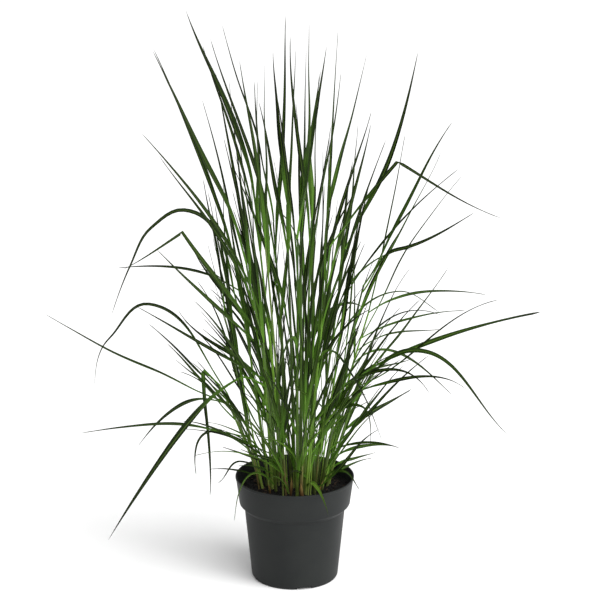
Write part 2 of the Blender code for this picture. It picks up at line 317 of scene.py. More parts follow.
def damp_compost():
    """Damp peat: near black, rough, with paler bark and reddish fibre in it."""
    made, tree, shader = new_material("damp_compost", 0.9, 1.35)
    place = add(tree, "TexCoord").outputs["Object"]
    specks = add(tree, "TexNoise", Vector=place, Scale=700.0, Detail=6.0, Roughness=0.7)
    colour = ramp(
        tree,
        specks.outputs["Fac"],
        (0.3, "#050404"),
        (0.52, "#0b0908"),
        (0.68, "#18110c"),
        (0.8, "#33231a"),
    )
    tree.links.new(colour, shader.inputs["Base Color"])
    bump = add(tree, "Bump", Strength=0.8, Distance=0.6 * MM, Height=specks.outputs["Fac"])
    tree.links.new(bump.outputs["Normal"], shader.inputs["Normal"])
    return made


def bark_chip():
    """Composted bark: matt brown with a long grain."""
    made, tree, shader = new_material("composted_bark", 0.85, 1.4)
    place = add(tree, "TexCoord").outputs["Object"]
    grain = add(tree, "TexNoise", Vector=place, Scale=420.0, Detail=4.0)
    colour = ramp(tree, grain.outputs["Fac"], (0.35, "#191109"), (0.7, "#43301e"))
    tree.links.new(colour, shader.inputs["Base Color"])
    return made


compost_finish = damp_compost()
bark_finish = bark_chip()
surface_radius = inner_wall(COMPOST_BOTTOM, COMPOST_TOP, WALL + COMPOST_PLAY)[-1][0]
compost_outline = [(surface_radius * i / TOP_RINGS, COMPOST_TOP) for i in range(TOP_RINGS + 1)]
compost_outline += inner_wall(COMPOST_BOTTOM, COMPOST_TOP - 2, WALL + COMPOST_PLAY)[::-1]
compost_outline.append((0, COMPOST_BOTTOM))
compost = turned("compost_block", compost_outline, COMPOST_STEPS)
for vertex in compost.data.vertices:
    if vertex.co.z > (COMPOST_TOP - 0.1) * MM:
        edge = min(1, (surface_radius * MM - vertex.co.xy.length) / (5 * MM))
        vertex.co.z += lumps(vertex.co.x, vertex.co.y) * max(edge, 0)
shade_round(compost, 60)
compost.data.materials.clear()
compost.data.materials.append(compost_finish)
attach(compost, "root")
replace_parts(compost, "compost")

loose = random.Random(11)


def on_compost(reach):
    """A random place on the top of the compost."""
    radius = reach * math.sqrt(loose.random())
    angle = loose.uniform(0, math.tau)
    x, y = radius * math.cos(angle), radius * math.sin(angle)
    return Vector((x, y, COMPOST_TOP * MM + lumps(x, y)))


def scattered(name, count, shape, finish):
    """Many loose pieces on the compost, joined in one mesh."""
    pile = bmesh.new()
    for _ in range(count):
        shape(pile)
    mesh = bpy.data.meshes.new(name)
    pile.to_mesh(mesh)
    pile.free()
    made = placed(name, mesh)
    shade_round(made, 50)
    mesh.materials.append(finish)
    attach(made, "root")
    return made


def random_turn():
    axis = Vector((loose.gauss(0, 1), loose.gauss(0, 1), loose.gauss(0, 1))).normalized()
    return Matrix.Rotation(loose.uniform(0, math.tau), 4, axis)


def crumb(pile):
    """One rough lump of peat, 1.5 to 5 mm across."""
    size = loose.triangular(0.8, 2.6, 1.1) * MM
    stretch = Matrix.Diagonal((size, size * loose.uniform(0.6, 1), size * loose.uniform(0.5, 0.9), 1))
    place = Matrix.Translation(on_compost(surface_radius * MM - 4 * MM)) @ random_turn()
    made = bmesh.ops.create_icosphere(pile, subdivisions=1, radius=1)["verts"]
    for vertex in made:
        vertex.co = place @ stretch @ (vertex.co * loose.uniform(0.72, 1.15))


def chip(pile):
    """One flat splinter of bark, 4 to 12 mm long."""
    length = loose.uniform(2, 6) * MM
    stretch = Matrix.Diagonal((length, length * loose.uniform(0.25, 0.5), length * 0.15, 1))
    tip_over = Matrix.Rotation(loose.uniform(-0.5, 0.5), 4, "Y")
    swing = Matrix.Rotation(loose.uniform(0, math.tau), 4, "Z")
    place = Matrix.Translation(on_compost(surface_radius * MM - 8 * MM) + UP * 0.6 * MM)
    place = place @ swing @ tip_over
    made = bmesh.ops.create_icosphere(pile, subdivisions=2, radius=1)["verts"]
    for vertex in made:
        vertex.co = place @ stretch @ (vertex.co * loose.uniform(0.85, 1.05))


scattered("compost_crumbs", CRUMBS, crumb, compost_finish)
scattered("bark_chips", CHIPS, chip, bark_finish)


# ---- Culms ----------------------------------------------------------------------
# The round, upright stems. Each is a tube of rolled leaf sheaths, one inside the
# next, so that it steps down in thickness where a sheath ends in a collar. They
# stand in the compost, fan out, and lean a little more the higher they reach.

# Each culm: the x, y of its foot and the x, y, z of its topmost collar, in centimetres
CULMS = {
    "culm_01": ((-1.4, -3.0), (-4.4, -8.0, 57)),
    "culm_02": ((-3.0, -1.6), (-4.8, -8.5, 42)),
    "culm_03": ((0.4, -4.0), (0.5, -10, 59)),
    "culm_04": ((1.8, -3.4), (5.4, -9.0, 57.5)),
    "culm_05": ((3.1, -2.6), (2.6, -5.5, 52)),
    "culm_06": ((-5.1, -0.2), (-11.8, -2.5, 33)),
    "culm_07": ((-5.6, 2.4), (-10.8, 6.0, 28.5)),
    "culm_08": ((-4.2, 1.2), (-8.8, 3.0, 47.5)),
    "culm_09": ((-3.6, -0.2), (-5.4, -2.5, 45)),
    "culm_10": ((-2.6, 2.6), (-7.2, 8.0, 45.5)),
    "culm_11": ((-1.8, 0.6), (-6.0, 1.0, 60)),
    "culm_12": ((-1.2, -1.4), (-7.4, -5.5, 53.5)),
    "culm_13": ((-0.6, 3.2), (-3.4, 9.0, 56.5)),
    "culm_14": ((0.0, 0.0), (-1.2, -1.0, 62)),
    "culm_15": ((1.0, 1.6), (1.0, 5.0, 61.5)),
    "culm_16": ((1.4, -1.0), (2.6, -3.0, 60)),
    "culm_17": ((2.6, 3.4), (5.2, 10, 57)),
    "culm_18": ((3.0, 0.6), (8.0, 2.0, 54)),
    "culm_19": ((4.2, -1.0), (10.6, -5.0, 50)),
    "culm_20": ((4.4, 2.2), (11.8, 7.0, 42)),
    "culm_21": ((5.2, 0.6), (10.8, 0.4, 34)),
    "culm_22": ((0.6, 4.8), (1.6, 13, 45)),
}
CULM_FOOT_RADIUS = 2.3
CULM_TOP_RADIUS = 1.5
# Each sheath adds to the stem inside it, so the stem itself is slimmer than the culm
FOOT_SLIMMER = 0.3
TOP_SLIMMER = 0.4
CULM_BOW = 0.42
SOCKET_DEPTH = 10.0
LOWEST_COLLAR = 19.0
COLLAR_SPACING = 7.0
foot_z = COMPOST_TOP * MM / CM


def culm_point(culm, height):
    """The middle of a culm at a height in centimetres, given in metres."""
    (foot_x, foot_y), (top_x, top_y, top_z) = culm
    share = (height - foot_z) / (top_z - foot_z)
    out = share * (2 * CULM_BOW + share * (1 - 2 * CULM_BOW))
    x = foot_x + out * (top_x - foot_x)
    y = foot_y + out * (top_y - foot_y)
    return Vector((x, y, height)) * CM


def culm_radius(culm, height, foot_radius=CULM_FOOT_RADIUS, top_radius=CULM_TOP_RADIUS):
    share = (height - foot_z) / (culm[1][2] - foot_z)
    return (foot_radius + share * (top_radius - foot_radius)) * MM


def collar_heights(culm, rng):
    """The heights of a culm's collars, from the lowest up to its end."""
    top = culm[1][2]
    count = max(1, round((top - LOWEST_COLLAR) / COLLAR_SPACING))
    heights = [LOWEST_COLLAR + (top - LOWEST_COLLAR) * i / count for i in range(count)]
    return [height + rng.uniform(-1.5, 1.5) for height in heights] + [top]


def leaf_sheath():
    """Living sheath: smooth, finely ribbed along its length, bright yellow-green where
    light reaches it, and paler towards the foot, where an old one is straw-stained."""
    made, tree, shader = new_material("leaf_sheath", 0.4, 1.42)
    grain = add(tree, "UVMap", {"uv_map": "grain"})
    split = add(tree, "SeparateXYZ", Vector=grain.outputs["UV"])
    tone = add(tree, "Attribute", {"attribute_name": "tone"}).outputs["Fac"]
    place = add(tree, "TexCoord").outputs["Object"]
    mottle = add(tree, "TexNoise", Vector=place, Scale=90.0, Detail=3.0)
    sway = {"operation": "MULTIPLY_ADD"}
    height = add(tree, "Math", sway, _0=mottle.outputs["Fac"], _1=0.12, _2=split.outputs["Y"])
    height = height.outputs[0]
    green = ramp(
        tree,
        height,
        (0.06, "#97a35c"),
        (0.12, "#7e9740"),
        (0.24, "#70992e"),
        (0.7, "#73a42c"),
        (1.0, "#4a7420"),
    )
    straw = ramp(tree, height, (0.06, "#3d3220"), (0.14, "#6b6038"), (0.26, "#5f7632"))
    aged = add(tree, "Math", {"operation": "GREATER_THAN"}, _0=tone, _1=0.9)
    body = blended(tree, aged.outputs[0], green, straw)
    shade = ramp(tree, tone, (0.0, "#757575"), (0.8, "#ffffff"))
    coloured = blended(tree, 1.0, body, shade, "MULTIPLY")
    tree.links.new(coloured, shader.inputs["Base Color"])
    # ribs of about 0.5 mm, coarser than the real ones so that they show
    turns = add(tree, "Math", {"operation": "MULTIPLY"}, _0=split.outputs["X"], _1=math.tau * 24)
    ribs = add(tree, "Math", {"operation": "SINE"}, _0=turns.outputs[0])
    bump = add(tree, "Bump", Strength=0.25, Distance=0.1 * MM, Height=ribs.outputs[0])
    tree.links.new(bump.outputs["Normal"], shader.inputs["Normal"])
    return made


class Gathered:
    """The points, faces and surface values of several stems and blades, for one mesh."""

    def __init__(self):
        self.points = []
        self.faces = []
        self.grain = []
        self.tones = []
        self.finishes = []

    def face(self, corners, grain, tone, finish):
        self.faces.append(corners)
        self.grain.extend(grain)
        self.tones.append(tone)
        self.finishes.append(finish)

    def loft(self, rings, rounds, along, tone, finishes):
        """Skins a row of rings and closes both ends. Each corner keeps its place
        round the ring and along the row."""
        first = len(self.points)
        size = len(rings[0])
        last = first + (len(rings) - 1) * size
        for ring in rings:
            self.points.extend(ring)
        for i in range(len(rings) - 1):
            low = first + i * size
            for k in range(size):
                on = (k + 1) % size
                corners = (low + k, low + on, low + size + on, low + size + k)
                below, above = along[i], along[i + 1]
                here, there = rounds[k], rounds[k + 1]
                grain = ((here, below), (there, below), (there, above), (here, above))
                self.face(corners, grain, tone, finishes[k])
        start_cap = tuple(range(first, first + size))[::-1]
        end_cap = tuple(range(last, last + size))
        self.face(start_cap, [(0.5, along[0])] * size, tone, finishes[0])
        self.face(end_cap, [(0.5, along[-1])] * size, tone, finishes[0])

    def as_object(self, name, materials):
        """One smooth-shaded object that moves with the pot."""
        mesh = bpy.data.meshes.new(name)
        mesh.from_pydata(self.points, [], self.faces)
        layer = mesh.uv_layers.new(name="grain")
        layer.data.foreach_set("uv", [value for corner in self.grain for value in corner])
        tone = mesh.attributes.new("tone", "FLOAT", "FACE")
        tone.data.foreach_set("value", self.tones)
        for finish in materials:
            mesh.materials.append(finish)
        mesh.polygons.foreach_set("material_index", self.finishes)
        made = placed(name, mesh)
        shade_round(made, 70)
        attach(made, "root")
        return made


SHEATH_SIDES = 14
SHEATH_RINGS = 60
SHEATH_STEP = 0.09
STRAIGHT_RUN = 45.0


def add_culm(gathered, culm, collars, rng, finish, foot_radius, top_radius):
    """A tube that steps in at each collar and swells a little below it."""
    low = foot_z - SOCKET_DEPTH * MM / CM
    top = culm[1][2]
    rings, along = [], []
    swing = rng.uniform(0, math.tau)
    for i in range(SHEATH_RINGS):
        height = low + (top - low) * i / (SHEATH_RINGS - 1)
        middle = culm_point(culm, height)
        way = (culm_point(culm, height + 0.2) - middle).normalized()
        side = way.cross(Vector((0, 1, 0))).normalized()
        front = way.cross(side)
        radius = culm_radius(culm, height, foot_radius, top_radius)
        for collar in collars:
            radius += SHEATH_STEP * MM if height < collar else 0
            radius += SHEATH_STEP * MM * math.exp(-(((height - collar + 0.5) / 0.6) ** 2))
        ring = []
        for k in range(SHEATH_SIDES):
            angle = math.tau * k / SHEATH_SIDES + swing
            reach = radius * (1 + 0.07 * math.cos(2 * angle))
            ring.append(middle + (side * math.cos(angle) + front * math.sin(angle)) * reach)
        rings.append(ring)
        along.append((height - low) / STRAIGHT_RUN)
    rounds = [k / SHEATH_SIDES for k in range(SHEATH_SIDES + 1)]
    gathered.loft(rings, rounds, along, rng.random(), [finish] * SHEATH_SIDES)


sheath_finish = leaf_sheath()
growth = random.Random(7)
collars_of = {name: collar_heights(culm, growth) for name, culm in CULMS.items()}

for name, culm in CULMS.items():
    stem = Gathered()
    foot_radius = CULM_FOOT_RADIUS - FOOT_SLIMMER
    top_radius = CULM_TOP_RADIUS - TOP_SLIMMER
    add_culm(stem, culm, collars_of[name], growth, 0, foot_radius, top_radius)
    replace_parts(stem.as_object("sheathed_" + name, [sheath_finish]), name)


# ---- Blades ---------------------------------------------------------------------
# The long leaf blades. Each leaves its culm at the collar of its sheath, folded along
# a pale midrib, turns over as it goes, and tapers to a point as fine as a hair. Most
# stand up and out, the old low ones arch over, and a few are creased and hang.

TIP_WIDTH = 1.5
# Each blade: its culm, the height of its collar and its tip in centimetres, its lean
# from the vertical at the collar and at the tip in degrees, its width in millimetres
# and how far it turns about its own length. A bend is a place that it passes, with its
# lean there: 90 is the level crown of an arch. With no lean, it is creased there.
# A torn tip is wider than a whole one.
Blade = namedtuple(
    "Blade",
    "culm collar tip lean tip_lean width turn bends tip_width",
    defaults=((), TIP_WIDTH),
)
BLADES = {
    "blade_top_01": Blade("culm_11", 60, (-16.5, 1, 92), 6, 20, 12, 60),
    "blade_top_02": Blade("culm_12", 53.5, (-21, -10, 88), 14, 26, 9.5, 50),
    "blade_top_03": Blade("culm_13", 56.5, (-11.5, 16, 87), 8, 18, 8, 50),
    "blade_top_04": Blade("culm_08", 47.5, (-20.5, 9, 80.5), 12, 30, 8.5, 60),
    "blade_top_05": Blade("culm_01", 57, (-8, -15, 87.5), 6, 16, 8, 40),
    "blade_top_06": Blade("culm_09", 45, (-23, -8, 75), 18, 40, 8, 60),
    "blade_top_07": Blade("culm_16", 60, (2.2, -5, 91.5), 4, 4, 11, 50),
    "blade_top_08": Blade("culm_15", 61.5, (5, 11, 84.5), 8, 16, 9, 60),
    "blade_top_09": Blade("culm_17", 57, (11.5, 18, 82), 12, 18, 8, 50),
    "blade_top_10": Blade("culm_18", 54, (19, 4, 85), 28, 10, 9.5, 50),
    "blade_top_11": Blade("culm_19", 50, (23.6, -11, 77.5), 34, 36, 8, 50),
    "blade_top_12": Blade("culm_04", 57.5, (31.4, -9, 62), 35, 112, 6.5, 50, ((15.5, -10, 71),)),
    "blade_left_01": Blade(
        "culm_08",
        42,
        (-29, 2, 43),
        25,
        162,
        8,
        70,
        ((-17.3, 3, 60.2, 84), (-22.6, 3, 57.3, 130), (-26, 2.5, 51.2, 155)),
    ),
    "blade_left_02": Blade("culm_09", 41, (-26, -11, 54.5), 38, 110, 9, 60, ((-17, -7, 59.5),)),
    "blade_left_03": Blade("culm_10", 44, (-28.7, 12, 48), 50, 100, 7, 50),
    "blade_left_04": Blade(
        "culm_07",
        28.5,
        (-32.6, 10, 28.5),
        34,
        178,
        7,
        60,
        ((-23.4, 8, 42.8, 84), (-29.8, 9, 37, 134)),
    ),
    "blade_left_05": Blade("culm_06", 30, (-39, -3, 45), 68, 58, 7, 50),
    "blade_left_06": Blade("culm_06", 24, (-33, -12, 28.5), 66, 92, 7, 60),
    "blade_left_07": Blade("culm_02", 34, (-29, -14, 11.5), 62, 148, 12, 70, ((-8.8, -8.4, 36, 116),)),
    "blade_left_08": Blade("culm_06", 33, (-13.5, -3, 14.5), 45, 186, 8, 50, ((-14.4, -3, 35.6),)),
    "blade_left_09": Blade(
        "culm_07",
        20,
        (-16, 5, 15),
        48,
        188,
        6,
        60,
        ((-13.3, 4.6, 22.6, 92), (-15.9, 5, 20, 166)),
    ),
    "blade_left_10": Blade("culm_07", 26.5, (-26, 13, 17), 66, 145, 8, 50),
    "blade_right_01": Blade("culm_19", 49, (27, -13, 64), 38, 54, 7.5, 50, ((15.8, -8, 56.8, 72),)),
    "blade_right_02": Blade("culm_20", 42, (31, 12, 43.5), 60, 108, 5.5, 60),
    "blade_right_03": Blade("culm_21", 34, (38.5, -2, 45), 58, 78, 9, 60, (), 4.6),
    "blade_right_04": Blade("culm_21", 29, (33.3, -9, 27), 35, 132, 9, 70, ((20, -6, 40, 90),)),
    "blade_right_05": Blade("culm_20", 34, (26, 16, 25), 55, 135, 5.5, 60),
    "blade_right_06": Blade("culm_19", 30, (22, -20, 50), 20, 95, 4.5, 50),
    "blade_right_07": Blade("culm_21", 20, (16.5, 2, 21), 60, 110, 7, 50),
    "blade_front_01": Blade("culm_03", 40, (-4, -31, 36), 30, 130, 8, 30),
    "blade_front_02": Blade("culm_04", 38, (13, -28, 33), 35, 130, 8, -30),
    "blade_front_03": Blade("culm_02", 16, (-9.5, -8.5, 12.5), 40, 165, 6, 30, ((-6.6, -4.8, 19, 90),)),
    "blade_front_04": Blade("culm_04", 16.5, (5.3, -11.5, 14.5), 40, 150, 7.5, 20),
    "blade_back_01": Blade("culm_22", 45, (-3, 31, 52), 30, 110, 8, 40),
    "blade_back_02": Blade("culm_22", 34, (12, 28, 36), 40, 125, 8, 40),
    "blade_back_03": Blade("culm_10", 36, (-16, 25, 44), 35, 105, 8, 40),
}
# A blade whose collar is below this height is of a young shoot, and lighter
YOUNG_BELOW = 18.0
BLADE_THICKNESS = 0.34
KEEL = 0.55
TAPER = 0.8
BLADE_SECTIONS = 44
WIDEST_UNTIL = 0.42
# Each point of the section: its place across the blade, whether it is on the upper or
# the under skin or on an edge between them, and the face that follows it
UPPER, UNDER, SHEATH = 0, 1, 2
SECTION = (
    (-1.0, 0, UPPER),
    (-0.5, 1, UPPER),
    (0.0, 1, UPPER),
    (0.5, 1, UPPER),
    (1.0, 0, UNDER),
    (0.5, -1, UNDER),
    (0.0, -1, UNDER),
    (-0.5, -1, UNDER),
)


def heading(start, end):
    """The level direction from one point to another."""
    return Vector((end.x - start.x, end.y - start.y, 0)).normalized()


def leaning(level, degrees):
    """A direction that leans from the vertical towards a heading."""
    angle = math.radians(degrees)
    return level * math.sin(angle) + UP * math.cos(angle)


def sweep(start, end, start_way, end_way, t):
    """A point and a direction on the smooth curve between two points."""
    turn = start_way.angle(end_way)
    pull = (end - start).length / math.cos(turn / 4) ** 2
    point = (
        start * (2 * t**3 - 3 * t**2 + 1)
        + start_way * pull * (t**3 - 2 * t**2 + t)
        + end * (3 * t**2 - 2 * t**3)
        + end_way * pull * (t**3 - t**2)
    )
    way = (
        start * (6 * t**2 - 6 * t)
        + start_way * pull * (3 * t**2 - 4 * t + 1)
        + end * (6 * t - 6 * t**2)
        + end_way * pull * (3 * t**2 - 2 * t)
    )
    return point, way.normalized()


def blade_line(blade, culm):
    """Points, directions and headings from the collar to the tip."""
    on_culm = culm_point(culm, blade.collar)
    stops = [on_culm] + [Vector(bend[:3]) * CM for bend in blade.bends] + [Vector(blade.tip) * CM]
    levels = [heading(a, b) for a, b in zip(stops, stops[1:])]
    if blade.collar < culm[1][2]:
        stops[0] = on_culm + levels[0] * culm_radius(culm, blade.collar)
    passing = [levels[0]] + [(a + b).normalized() for a, b in zip(levels, levels[1:])] + [levels[-1]]
    ways_out, ways_in = [leaning(levels[0], blade.lean)], []
    for i, bend in enumerate(blade.bends, 1):
        if len(bend) == 4:
            over = leaning(passing[i], bend[3])
            ways_in.append(over)
            ways_out.append(over)
        else:
            ways_in.append((stops[i] - stops[i - 1]).normalized())
            ways_out.append((stops[i + 1] - stops[i]).normalized())
    ways_in.append(leaning(levels[-1], blade.tip_lean))
    line = []
    whole = sum((b - a).length for a, b in zip(stops, stops[1:]))
    for i, (a, b) in enumerate(zip(stops, stops[1:])):
        steps = max(4, round(BLADE_SECTIONS * (b - a).length / whole))
        for step in range(1 if i else 0, steps + 1):
            t = step / steps
            point, way = sweep(a, b, ways_out[i], ways_in[i], t)
            line.append((point, way, passing[i].lerp(passing[i + 1], t).normalized()))
    return line


def blade_half_width(blade, share):
    """Half the width: broad from a little past the collar, then an even taper."""
    swell = min(1, 0.5 + 3 * share)
    taper = min(1, (1 - share) / (1 - WIDEST_UNTIL)) ** TAPER
    end = min(1, (1 - share) * 30)
    return max(blade.width * swell * taper, blade.tip_width * end, 0.12) * MM / 2


def add_blade(gathered, blade, culm, rng, fullness=0.96):
    """A thin loft, folded along its midrib, that turns about its own length."""
    line = blade_line(blade, culm)
    lengths = [0.0]
    for (a, _, _), (b, _, _) in zip(line, line[1:]):
        lengths.append(lengths[-1] + (b - a).length)
    whole = lengths[-1]
    sway = rng.uniform(-1, 1) * 0.022 * whole
    ripple = rng.uniform(-1, 1) * 0.006 * whole
    phase = rng.uniform(0, math.tau)
    wring = math.copysign(math.radians(rng.uniform(5, 75)), blade.turn)
    tone = rng.random()
    rings, along = [], []
    for (point, way, level), run in zip(line, lengths):
        share = run / whole
        side = level.cross(UP)
        side = (side - way * side.dot(way)).normalized()
        eased = min(1, 2 * share)
        turn = math.radians(blade.turn) * eased * eased * (3 - 2 * eased) + wring * share
        side = Matrix.Rotation(turn, 3, way) @ side
        face = side.cross(way)
        loose_end = share * (1 - share) * 4
        middle = point + side * sway * math.sin(4 * share + phase) * loose_end * 0.5
        middle += face * ripple * math.sin(11 * share + phase) * loose_end
        half = blade_half_width(blade, share) * fullness
        fold = math.radians(24 + 42 * math.exp(-share / 0.05) + 8 * share)
        skin = BLADE_THICKNESS * MM / 2 * (1 - 0.5 * share)
        keel = min(KEEL * MM * (1 - share), 0.5 * half)
        ring = []
        for across, skin_side, _ in SECTION:
            lift = abs(across) * half * math.sin(fold) + skin_side * min(skin, 0.4 * half)
            if across == 0 and skin_side < 0:
                lift -= keel
            ring.append(middle + side * across * half * math.cos(fold) + face * lift)
        rings.append(ring)
        along.append(share)
    rounds = [(across + 1) / 2 for across, _, _ in SECTION] + [0.0]
    gathered.loft(rings, rounds, along, tone, [finish for _, _, finish in SECTION])


def leaf_face(name, dark, middle, light, rib, roughness):
    """One face of a living blade: a waxy skin over fine parallel veins, with a pale
    midrib, a yellow-green collar end and painted shade that darkens its outer half almost to black at
    the tip."""
    made, tree, shader = new_material(name, roughness, 1.4, 0.12)
    grain = add(tree, "UVMap", {"uv_map": "grain"})
    split = add(tree, "SeparateXYZ", Vector=grain.outputs["UV"])
    across, share = split.outputs["X"], split.outputs["Y"]
    tone = add(tree, "Attribute", {"attribute_name": "tone"}).outputs["Fac"]
    # long streaks that differ from blade to blade
    wide = add(tree, "Math", {"operation": "MULTIPLY"}, _0=across, _1=7.0)
    apart = add(tree, "Math", {"operation": "MULTIPLY"}, _0=tone, _1=90.0)
    drawn = add(tree, "CombineXYZ", X=wide.outputs[0], Y=share, Z=apart.outputs[0])
    streaks = add(tree, "TexNoise", Vector=drawn.outputs[0], Scale=2.2, Detail=3.0)
    weigh = {"operation": "MULTIPLY_ADD"}
    streaked = add(tree, "Math", weigh, _0=streaks.outputs["Fac"], _1=0.5, _2=0.0)
    depth = add(tree, "Math", weigh, _0=tone, _1=0.55, _2=streaked.outputs[0])
    green = ramp(tree, depth.outputs[0], (0.2, dark), (0.52, middle), (0.86, light))
    # the midrib, about a twelfth of the width
    off_middle = add(tree, "Math", {"operation": "SUBTRACT"}, _0=across, _1=0.5)
    distance = add(tree, "Math", {"operation": "ABSOLUTE"}, _0=off_middle.outputs[0])
    near_rib = add(tree, "MapRange", Value=distance.outputs[0], _1=0.02, _2=0.07, _3=0.7, _4=0.0)
    ribbed = blended(tree, near_rib.outputs["Result"], green, rib)
    near_collar = add(tree, "MapRange", Value=share, _1=0.0, _2=0.36, _3=0.85, _4=0.0)
    fresh = blended(tree, near_collar.outputs["Result"], ribbed, "#578228")
    # painted shade: the outer half of the blade darkens towards the tip, almost to black
    near_tip = add(tree, "MapRange", Value=share, _1=0.5, _2=1.0, _3=0.0, _4=0.85)
    shaded_tip = blended(tree, near_tip.outputs["Result"], fresh, "#17180f")
    tree.links.new(shaded_tip, shader.inputs["Base Color"])
    # veins about 0.6 mm apart, coarser than the real ones so that they show
    turns = add(tree, "Math", {"operation": "MULTIPLY"}, _0=across, _1=math.tau * 13)
    veins = add(tree, "Math", {"operation": "SINE"}, _0=turns.outputs[0])
    bump = add(tree, "Bump", Strength=0.3, Distance=0.08 * MM, Height=veins.outputs[0])
    tree.links.new(bump.outputs["Normal"], shader.inputs["Normal"])
    return made


leaf_finishes = (
    leaf_face("leaf_upper_face", "#0b1404", "#152607", "#2c4611", "#5d7a2a", 0.42),
    leaf_face("leaf_under_face", "#0e1705", "#1a290a", "#304418", "#556e2a", 0.55),
    sheath_finish,
)
young_finishes = (
    leaf_face("young_leaf_upper_face", "#1f330b", "#385713", "#5a7c26", "#8ca24c", 0.42),
    leaf_face("young_leaf_under_face", "#24380f", "#3e5c1a", "#5f802d", "#8ca252", 0.55),
    sheath_finish,
)

for name, blade in BLADES.items():
    leaf = Gathered()
    add_blade(leaf, blade, CULMS[blade.culm], growth)
    finishes = young_finishes if blade.collar < YOUNG_BELOW else leaf_finishes
    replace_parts(leaf.as_object("living_" + name, finishes[:2]), name)


# ---- More blades of the culms ---------------------------------------------------
# The other blades that the same culms carry. The table holds those that stand out of
# the clump. The ones between are grown by rule at some of the collars: they lean out,
# to the left and the right of the culm by turns, and keep inside the clump.

